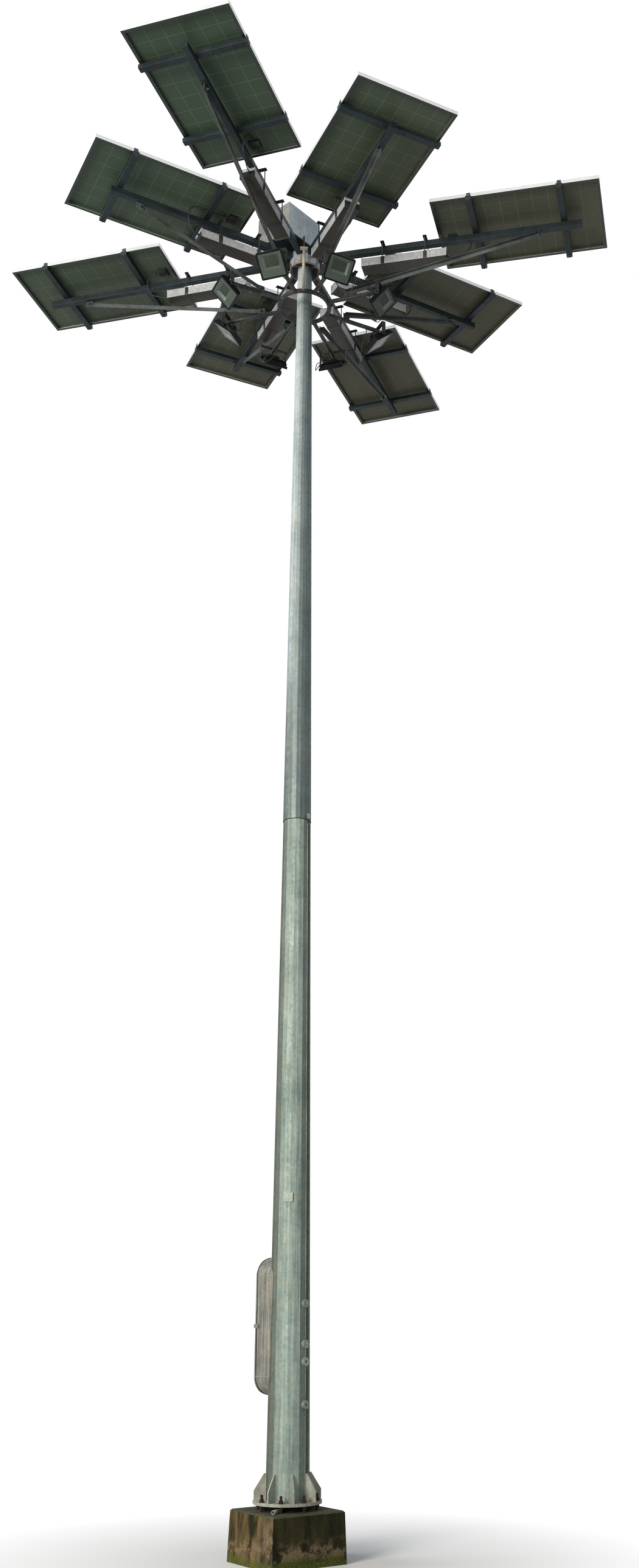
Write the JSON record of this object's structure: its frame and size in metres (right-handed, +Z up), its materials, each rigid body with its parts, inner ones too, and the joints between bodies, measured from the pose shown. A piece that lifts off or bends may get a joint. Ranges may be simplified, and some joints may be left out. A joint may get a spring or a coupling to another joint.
{
  "type": "high mast floodlight tower",
  "caption": "Tall tapered galvanised mast on a concrete plinth, with a flower-like head of solar panels, battery boxes and floodlights hung from a ring in tilting stirrups.",
  "frame": {"origin": "centre of the underside of the concrete plinth, on the mast axis", "axes": "+Z up the mast; -Y is the front, the side seen from a viewer with the plinth corner towards them; +X to that viewer's right"},
  "size_m": [6.0808, 5.9921, 13.053],
  "materials": {
    "base_zinc": "hot-dip galvanised, dusty",
    "battery_zinc": "galvanised sheet",
    "black_plastic": "matt black",
    "cable_rubber": "matt black sheath",
    "concrete": "rough cast concrete, weathered and mossy",
    "drain_plastic": "dull white plastic",
    "fittings_zinc": "hot-dip galvanised, dull",
    "gasket_rubber": "matt",
    "grout": "rough dark grout",
    "head_steel": "dark weathered galvanised steel",
    "hood_zinc": "galvanised sheet",
    "lamp_glass": "toughened, grey green",
    "lamp_housing": "black powder coat",
    "latch_steel": "dull zinc",
    "mast_hub_zinc": "galvanised with rust at the rim",
    "mast_lower_zinc": "weathered hot-dip galvanised, greenish",
    "mast_upper_zinc": "weathered hot-dip galvanised, blue-grey spangle",
    "panel_aluminium": "anodised, satin",
    "panel_backsheet": "dark polymer sheet under glass",
    "pipe_paint": "cream paint, stained",
    "rusted_steel": "rusted, matt",
    "stirrup_steel": "dull dark zinc",
    "strap_steel": "dull zinc"
  },
  "bodies": {
    "tower": {"anchor_nuts": "rusted_steel", "anchor_studs": "rusted_steel", "arm_rails": "head_steel", "base_flange": "base_zinc", "base_gussets": "base_zinc", "battery_boxes": "battery_zinc", "battery_straps": "strap_steel", "blank_plate": "fittings_zinc", "concrete_plinth": "concrete", "door_frame": "fittings_zinc", "door_gasket": "gasket_rubber", "door_hinges": "fittings_zinc", "drain_pipe": "drain_plastic", "earth_bosses": "fittings_zinc", "grout_pad": "grout", "head_pipe": "pipe_paint", "head_sensor": "black_plastic", "hood": "hood_zinc", "joint_lug": "fittings_zinc", "junction_boxes": "black_plastic", "lamp_arms": "head_steel", "lamp_leads": "cable_rubber", "lamp_stirrups": "stirrup_steel", "lantern_ring": "head_steel", "mast_door_length": "mast_lower_zinc", "mast_foot": "mast_lower_zinc", "mast_hub": "mast_hub_zinc", "mast_lower": "mast_lower_zinc", "mast_upper": "mast_upper_zinc", "panel_arms": "head_steel", "panel_frames": "panel_aluminium", "panel_laminates": "panel_backsheet", "panel_leads": "cable_rubber", "strut_tabs": "head_steel", "struts": "head_steel"},
    "door": {"service_door": "fittings_zinc", "door_latch": "latch_steel"},
    "lamp_a": {"floodlight_a": "lamp_housing", "lamp_glass_a": "lamp_glass"},
    "lamp_b": {"floodlight_b": "lamp_housing", "lamp_glass_b": "lamp_glass"},
    "lamp_c": {"floodlight_c": "lamp_housing", "lamp_glass_c": "lamp_glass"},
    "lamp_d": {"floodlight_d": "lamp_housing", "lamp_glass_d": "lamp_glass"},
    "lamp_e": {"floodlight_e": "lamp_housing", "lamp_glass_e": "lamp_glass"},
    "lamp_f": {"floodlight_f": "lamp_housing", "lamp_glass_f": "lamp_glass"},
    "lamp_g": {"floodlight_g": "lamp_housing", "lamp_glass_g": "lamp_glass"},
    "lamp_h": {"floodlight_h": "lamp_housing", "lamp_glass_h": "lamp_glass"}
  },
  "joints": [
    {"name": "door_hinge", "type": "hinge", "parent": "tower", "child": "door", "pos_m": [-0.04795, 0.328, 2.03213], "axis": [-0.007, 0.008, -0.9999], "range_deg": [0, 110]},
    {"name": "lamp_a_tilt", "type": "hinge", "parent": "tower", "child": "lamp_a", "pos_m": [-0.31686, -0.76497, 12.08], "axis": [0.9239, -0.3827, 0], "range_deg": [-20, 35]},
    {"name": "lamp_b_tilt", "type": "hinge", "parent": "tower", "child": "lamp_b", "pos_m": [0.31686, -0.76497, 12.08], "axis": [0.9239, 0.3827, 0], "range_deg": [-20, 35]},
    {"name": "lamp_c_tilt", "type": "hinge", "parent": "tower", "child": "lamp_c", "pos_m": [0.76497, -0.31686, 12.08], "axis": [0.3827, 0.9239, 0], "range_deg": [-20, 35]},
    {"name": "lamp_d_tilt", "type": "hinge", "parent": "tower", "child": "lamp_d", "pos_m": [0.76497, 0.31686, 12.08], "axis": [-0.3827, 0.9239, 0], "range_deg": [-20, 35]},
    {"name": "lamp_e_tilt", "type": "hinge", "parent": "tower", "child": "lamp_e", "pos_m": [0.31686, 0.76497, 12.08], "axis": [-0.9239, 0.3827, 0], "range_deg": [-20, 35]},
    {"name": "lamp_f_tilt", "type": "hinge", "parent": "tower", "child": "lamp_f", "pos_m": [-0.31686, 0.76497, 12.08], "axis": [-0.9239, -0.3827, 0], "range_deg": [-20, 35]},
    {"name": "lamp_g_tilt", "type": "hinge", "parent": "tower", "child": "lamp_g", "pos_m": [-0.76497, 0.31686, 12.08], "axis": [-0.3827, -0.9239, 0], "range_deg": [-20, 35]},
    {"name": "lamp_h_tilt", "type": "hinge", "parent": "tower", "child": "lamp_h", "pos_m": [-0.76497, -0.31686, 12.08], "axis": [0.3827, -0.9239, 0], "range_deg": [-20, 35]}
  ]
}
